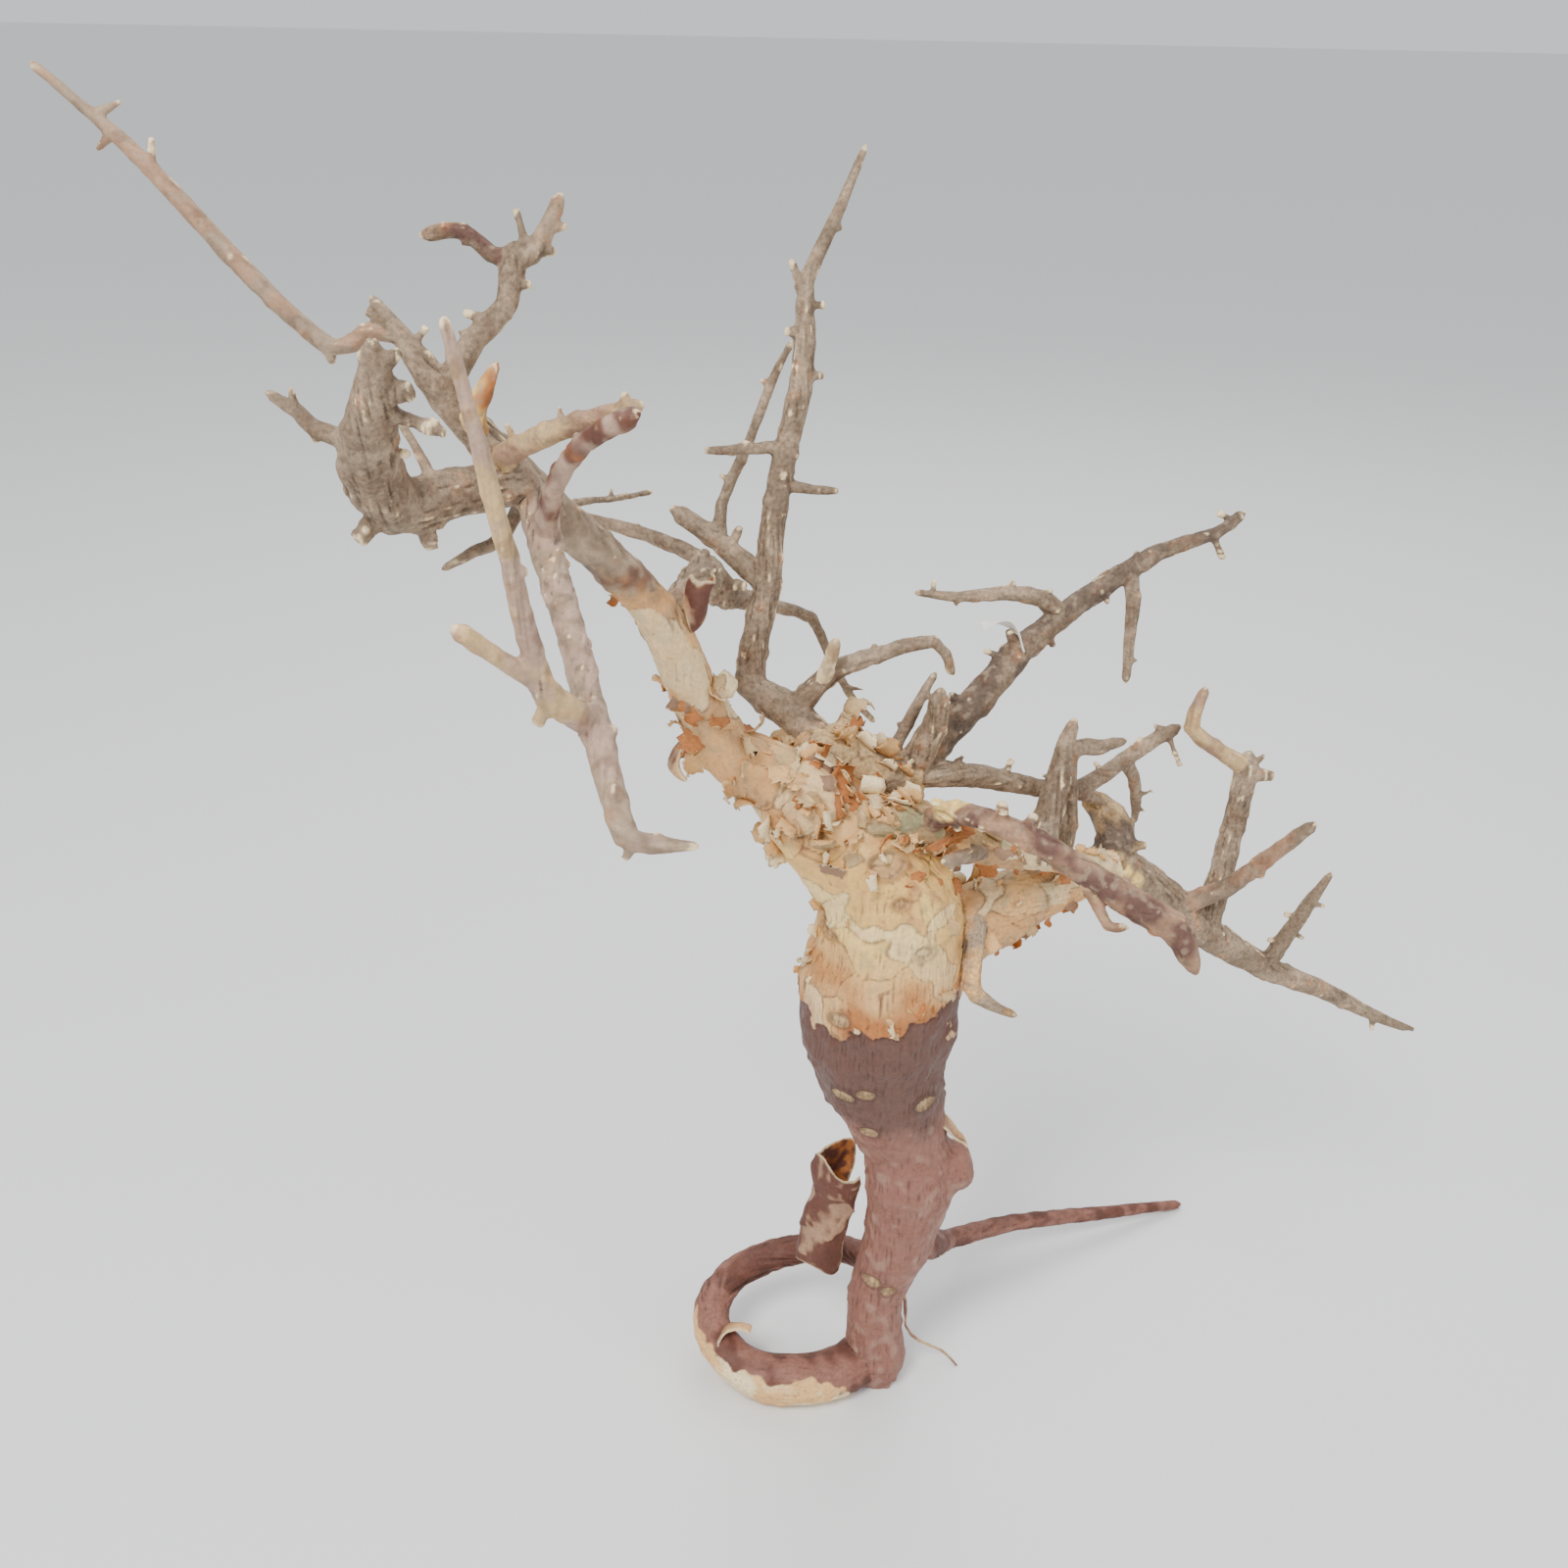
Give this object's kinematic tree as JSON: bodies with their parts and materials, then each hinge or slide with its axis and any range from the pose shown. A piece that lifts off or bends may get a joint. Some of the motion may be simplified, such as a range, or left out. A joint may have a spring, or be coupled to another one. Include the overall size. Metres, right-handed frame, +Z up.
{
  "type": "artificial tabletop tree",
  "caption": "Bare, gnarled tabletop tree with a swollen trunk, a looped root, a long tail root and a crown of broken, knobbly twigs.",
  "frame": {"origin": "centre of the trunk's sole, on the table", "axes": "+Z up the trunk, +X to the tree's right seen from its front, +Y to its back"},
  "size_m": [0.3913, 0.2138, 0.3983],
  "materials": {
    "trunk_bark": "satin, cream above, orange-brown at the middle and mauve-brown at the foot",
    "root_bark": "matte, fissured reddish brown",
    "pale_wood": "satin cream and pale tan",
    "grey_bark": "matte grey with tan patches",
    "tan_bark": "satin yellow-tan",
    "loose_bark": "matte papery bark, orange-brown inside",
    "scrap_paper": "matte white"
  },
  "bodies": {
    "root": {"trunk": "trunk_bark", "root_loop": "root_bark", "root_tail": "root_bark", "rootlet": "root_bark", "limb_left": "pale_wood", "limb_left_end": "grey_bark", "twig_long": "pale_wood", "antler": "grey_bark", "antler_left": "grey_bark", "antler_right": "tan_bark", "stub_peeled": "pale_wood", "branch_hook": "grey_bark", "branch_orange": "tan_bark", "branch_front": "pale_wood", "twig_through": "grey_bark", "twig_hook_left": "grey_bark", "twig_front_knob": "pale_wood", "twig_front_tall": "pale_wood", "twig_front_left": "pale_wood", "twig_side": "grey_bark", "twig_underhook": "grey_bark", "limb_right_upper": "grey_bark", "branch_level": "grey_bark", "stub_cut": "grey_bark", "branch_high": "grey_bark", "twig_forked": "grey_bark", "twig_high_left": "grey_bark", "twig_high_down": "grey_bark", "twig_fork_right": "grey_bark", "twig_hang": "grey_bark", "leader": "grey_bark", "leader_side": "grey_bark", "twig_back_tall": "grey_bark", "branch_back": "grey_bark", "twig_back_long": "grey_bark", "twig_back_straight": "grey_bark", "twig_arched": "grey_bark", "spur_cream": "pale_wood", "limb_right_low": "tan_bark", "limb_right": "tan_bark", "stub_tall": "grey_bark", "twig_low_left": "tan_bark", "branch_torn": "tan_bark", "twig_torn": "tan_bark", "branch_low": "grey_bark", "stump": "grey_bark", "stub_twisted": "grey_bark", "spur_droop": "grey_bark", "branch_post": "grey_bark", "twig_post_top": "pale_wood", "twig_rise": "tan_bark", "twig_low_up": "grey_bark", "bark_roll": "loose_bark", "bark_flap_trunk": "loose_bark", "bark_flake_loop": "loose_bark", "bark_curl_foot": "loose_bark", "bark_curl_top": "loose_bark", "paper_scrap": "scrap_paper"}
  },
  "joints": []
}
